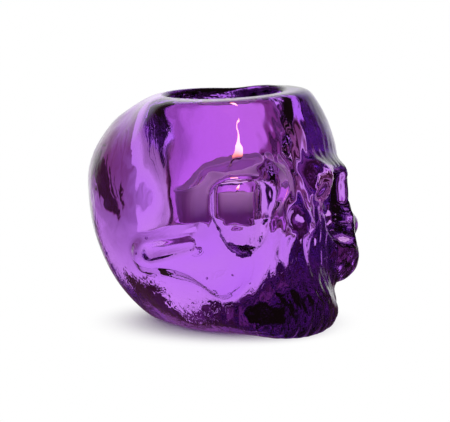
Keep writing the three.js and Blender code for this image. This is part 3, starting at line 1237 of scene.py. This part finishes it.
@dataclass(frozen=True)
class Surroundings:
    """The room as glass shows it, in two node groups that the walls and the floor share.

    The backdrop stands behind the object, and a dimmer one behind the camera. A strip of wall
    shows at each side, a soft light hangs overhead, and the gaps between them are dark. Turns are
    in degrees from straight behind the object, with the camera's right above nought. Heights are
    sines of the angle above level.
    """

    behind: Triple
    wall_edge: tuple[float, float] = (68, 56)
    strip_edge: tuple[float, float] = (74, 84)
    front_white: float = 0.36
    side_white: float = 0.5
    top_turns: tuple[float, float] = (7, 19)
    high_top: float = 0.66
    low_top: float = 0.42
    left_edge: tuple[float, float] = (-5, -15)
    right_edge: tuple[float, float] = (41, 49)
    side_end: tuple[float, float] = (100, 90)
    over_edge: tuple[float, float] = (0.72, 0.80)
    over_white: float = 0.42
    low_turns: tuple[float, float] = (4, 22)
    low_white: float = 0.9
    low_side: float = 0.38
    far_left_edge: tuple[float, float] = (-40, -24)
    far_left_white: float = 0.55
    rise_edge: tuple[float, float] = (-0.3, 0.22)
    ground_edge: tuple[float, float] = (-0.45, -0.62)
    flag_turn: float = 38
    flag_height: float = -0.14
    flag_size: tuple[float, float] = (9.5, 0.19)
    flag_halo: tuple[float, float] = (1.0, 3.2)
    halo_white: float = 0.55
    mirror_edge: tuple[float, float] = (0.5, 0.92)
    mirror_front: float = 0.08
    dark: Triple = (0.035, 0.006, 0.016)
    dim: Triple = (0.27, 0.13, 0.19)
    grey: Triple = (0.5, 0.45, 0.48)

    def turned_step(
        self, shader: Shader, turn: object, edge: tuple[float, float], low: float, high: float
    ) -> bpy.types.NodeSocket:
        """Adds a smooth step over a turn whose edge is given in degrees."""
        return shader.smooth(turn, math.radians(edge[0]), math.radians(edge[1]), low, high)

    def walls(self, shader: Shader, turn: object, ahead: object) -> bpy.types.NodeSocket:
        """Gives the brightness of the two backdrops and of the strips at the sides.

        Args:
            shader: Builder of the group's nodes.
            turn: Turn from the nearer backdrop's middle.
            ahead: Share of the direction that points behind the object.

        Returns:
            The brightness.
        """
        wall = shader.product(
            self.turned_step(shader, turn, self.wall_edge, 0.0, 1.0),
            shader.smooth(ahead, -0.2, 0.1, self.front_white, 1.0),
        )
        strip = self.turned_step(shader, turn, self.strip_edge, 0.0, self.side_white)
        return shader.math("MAXIMUM", wall, strip)

    def below_ceiling(
        self, shader: Shader, turn: object, drift: object, height: object
    ) -> bpy.types.NodeSocket:
        """Gives one below the dark ceiling, which hangs lowest to the right of the middle.

        Args:
            shader: Builder of the group's nodes.
            turn: Turn from the nearer backdrop's middle.
            drift: Turn to the camera's right.
            height: Height of the direction.

        Returns:
            One below the ceiling and nought above its edge.
        """
        far_left = tuple(-edge for edge in self.side_end)
        left = shader.product(
            self.turned_step(shader, drift, self.left_edge, 0.0, 1.0),
            self.turned_step(shader, drift, far_left, 0.0, 1.0),
        )
        right = shader.product(
            self.turned_step(shader, drift, self.right_edge, 0.0, 1.0),
            self.turned_step(shader, drift, self.side_end, 0.0, 1.0),
        )
        top = self.turned_step(shader, turn, self.top_turns, self.high_top, self.low_top)
        top = shader.mix(shader.math("MAXIMUM", left, right), top, self.high_top)
        return shader.smooth(shader.math("SUBTRACT", height, top), 0.012, -0.012)

    def lower_light(self, shader: Shader, drift: object, height: object) -> bpy.types.NodeSocket:
        """Gives the brightness below the ceiling, which falls off low down and to the right.

        Args:
            shader: Builder of the group's nodes.
            drift: Turn to the camera's right.
            height: Height of the direction.

        Returns:
            The brightness.
        """
        low = shader.product(
            self.turned_step(shader, drift, self.low_turns, self.low_white, self.low_side),
            self.turned_step(shader, drift, self.far_left_edge, self.far_left_white, 1.0),
        )
        rise = shader.mix(shader.smooth(height, *self.rise_edge), low, 1.0)
        return shader.math("MAXIMUM", rise, shader.smooth(height, *self.ground_edge))

    def flag(self, shader: Shader, drift: object, height: object) -> bpy.types.NodeSocket:
        """Gives nought on a black flag at the right, and one away from it.

        Args:
            shader: Builder of the group's nodes.
            drift: Turn to the camera's right.
            height: Height of the direction.

        Returns:
            The share of light that passes.
        """
        wide, tall = math.radians(self.flag_size[0]), self.flag_size[1]
        across = shader.math("SUBTRACT", drift, math.radians(self.flag_turn))
        across = shader.math("POWER", shader.math("DIVIDE", across, wide), 2.0)
        along = shader.math("SUBTRACT", height, self.flag_height)
        along = shader.math("POWER", shader.math("DIVIDE", along, tall), 2.0)
        away = shader.math("SQRT", shader.math("ADD", across, along))
        halo = shader.smooth(away, *self.flag_halo, self.halo_white, 1.0)
        return shader.product(shader.smooth(away, 0.92, 1.05), halo)

    def brightness(self) -> bpy.types.NodeTree:
        """Makes the group that gives the room's brightness, seen through glass and mirrored.

        Returns:
            The node group.
        """
        shader, takes, gives = new_group(
            "room_brightness", {"Direction": "Vector"}, {"Through": "Float", "Mirrored": "Float"}
        )
        direction = takes["Direction"]
        x, y, _ = self.behind
        ahead = shader.along(direction, (x, y, 0))
        side = shader.along(direction, (y, -x, 0))
        turn = shader.math(
            "ARCTAN2", shader.math("ABSOLUTE", side), shader.math("ABSOLUTE", ahead)
        )
        drift = shader.math("ARCTAN2", side, ahead)
        height = shader.add("SeparateXYZ", Vector=direction).outputs[2]
        level = shader.product(
            self.below_ceiling(shader, turn, drift, height),
            self.lower_light(shader, drift, height),
        )
        overhead = shader.smooth(height, *self.over_edge, 0.0, self.over_white)
        level = shader.math("MAXIMUM", level, overhead)
        walls = self.walls(shader, turn, ahead)
        through = shader.product(walls, level, self.flag(shader, drift, height))
        shader.tree.links.new(through, gives["Through"])
        mirrored = shader.smooth(ahead, *self.mirror_edge, self.mirror_front, 1.0)
        shader.tree.links.new(mirrored, gives["Mirrored"])
        return shader.tree

    def colour(self) -> bpy.types.NodeTree:
        """Makes the group that gives the room's colour for a brightness, warmer where dark.

        Returns:
            The node group.
        """
        shader, takes, gives = new_group(
            "room_colour", {"Brightness": "Float"}, {"Colour": "Color"}
        )
        stops = [(0.0, self.dark), (0.25, self.dim), (0.5, self.grey), (1.0, (1, 1, 1))]
        shader.tree.links.new(shader.ramp(takes["Brightness"], stops), gives["Colour"])
        return shader.tree


@dataclass
class Studio:
    """A pale floor, a white backdrop and soft light, with the camera of the photograph."""

    azimuth: float = -40
    elevation: float = 8
    distance: float = 0.8
    aim: Triple = (0, 3 * MM, 39 * MM)
    lens: float = 176.6
    aim_right: float = 2.17 * MM
    aim_up: float = 0.73 * MM
    floor_drop: float = 0.3 * MM
    floor_radius: float = 4
    shadow_edge: tuple[float, float] = (0.02, 0.052)
    glass_height: float = 40 * MM

    def __post_init__(self) -> None:
        """Makes the node groups that the walls and the floor share."""
        turn = math.radians(self.azimuth)
        surroundings = Surroundings((-math.sin(turn), math.cos(turn), 0.0))
        self.room = surroundings.brightness()
        self.tone = surroundings.colour()

    def camera(self) -> None:
        """Sets the camera at the photograph's viewing angle."""
        azimuth, elevation = math.radians(self.azimuth), math.radians(self.elevation)
        back = Vector((
            math.sin(azimuth) * math.cos(elevation),
            -math.cos(azimuth) * math.cos(elevation),
            math.sin(elevation),
        ))
        right = Vector((math.cos(azimuth), math.sin(azimuth), 0))
        up = back.cross(right)
        data = bpy.data.cameras.new("camera")
        data.lens = self.lens
        data.clip_end = 50
        camera = bpy.data.objects.new("camera", data)
        camera.rotation_euler = back.to_track_quat("Z", "Y").to_euler()
        aim = Vector(self.aim) + right * self.aim_right + up * self.aim_up
        camera.location = aim + back * self.distance
        bpy.context.scene.collection.objects.link(camera)
        bpy.context.scene.camera = camera

    def light(self, shader: Shader, direction: object) -> bpy.types.NodeSocket:
        """Gives the room's colour in a direction, plain white where the camera looks.

        Args:
            shader: Builder of the world's or the floor's nodes.
            direction: The direction looked at.

        Returns:
            The colour.
        """
        rays = shader.add("LightPath").outputs
        room = shader.add("Group", node_tree=self.room, Direction=direction).outputs
        light = shader.mix(rays["Is Glossy Ray"], 1.0, room["Mirrored"])
        light = shader.mix(rays["Is Transmission Ray"], light, room["Through"])
        light = shader.mix(rays["Is Camera Ray"], light, 1.0)
        return shader.add("Group", node_tree=self.tone, Brightness=light).outputs["Colour"]

    def world(self) -> None:
        """Makes the studio's walls: white for the camera, with dark gaps for glass and metal."""
        world = bpy.data.worlds.new("studio")
        bpy.context.scene.world = world
        world.use_nodes = True
        shader = Shader(world.node_tree)
        direction = shader.add("TexCoord").outputs["Generated"]
        colour = self.light(shader, direction)
        background = shader.add("Background", Color=colour, Strength=1.0)
        shader.add("OutputWorld", Surface=background.outputs[0])

    def floor(self) -> None:
        """Lays a pale floor that keeps the object's shadow and fades into the white backdrop."""
        bm = bmesh.new()
        bmesh.ops.create_circle(bm, cap_ends=True, segments=96, radius=self.floor_radius)
        bmesh.ops.translate(bm, verts=bm.verts, vec=(0, 0, -self.floor_drop))
        piece = mesh_object("floor", bm)
        material, shader = new_material("pale_floor")
        place = shader.add("TexCoord").outputs["Object"]
        away = shader.add("VectorMath", operation="LENGTH", i0=place).outputs["Value"]
        fade = shader.smooth(away, *self.shadow_edge)
        mirrored = shader.add("LightPath").outputs["Is Glossy Ray"]
        fade = shader.math("MAXIMUM", fade, mirrored)
        lowered = shader.add(
            "VectorMath", operation="SUBTRACT", i0=place, i1=(0, 0, self.glass_height)
        ).outputs[0]
        outward = shader.add("VectorMath", operation="NORMALIZE", i0=lowered).outputs[0]
        paper = shader.add("BsdfPrincipled", Base_Color=(0.93, 0.93, 0.93, 1), Roughness=0.9)
        # Painted light: beyond the shadow's edge the floor glows instead of being lit. It is plain
        # white to the camera. Through the glass it takes the room's brightness, with painted shade
        # low down and to the right.
        white = shader.add("Emission", Color=self.light(shader, outward), Strength=1.0)
        mix = shader.add("MixShader", i0=fade, i1=paper.outputs[0], i2=white.outputs[0])
        shader.add("OutputMaterial", Surface=mix.outputs[0])
        dress(piece, material)

    def lamp(self, name: str, azimuth: float, elevation: float, size: float, power: float) -> None:
        """Adds one soft lamp, a metre away, that points at the object.

        Args:
            name: Name of the lamp.
            azimuth: Its turn round the object in degrees, nought in front of the face.
            elevation: Its height in degrees.
            size: Side of the lamp in metres.
            power: Its power in watts.
        """
        turn, climb = math.radians(azimuth), math.radians(elevation)
        back = Vector((
            math.sin(turn) * math.cos(climb), -math.cos(turn) * math.cos(climb), math.sin(climb)
        ))
        data = bpy.data.lights.new(name, "AREA")
        data.size = size
        data.energy = power
        lamp = bpy.data.objects.new(name, data)
        lamp.location = Vector(self.aim) + back
        lamp.rotation_euler = back.to_track_quat("Z", "Y").to_euler()
        lamp.visible_glossy = False
        lamp.visible_transmission = False
        bpy.context.scene.collection.objects.link(lamp)

    def build(self) -> None:
        """Sets up the whole studio."""
        self.camera()
        self.world()
        self.floor()
        self.lamp("top_lamp", azimuth=0, elevation=80, size=0.8, power=4)
        bpy.context.scene.view_settings.view_transform = "Standard"


def main() -> None:
    """Builds the scene piece by piece."""
    Studio().build()
    log.info("studio ready")
    casting = SkullCasting()
    skull = casting.build(VioletGlass().build())
    for piece in [skull] + Tealight().build():
        log.info("%s: %d faces", piece.name, len(piece.data.polygons))


if __name__ == "__main__":
    main()
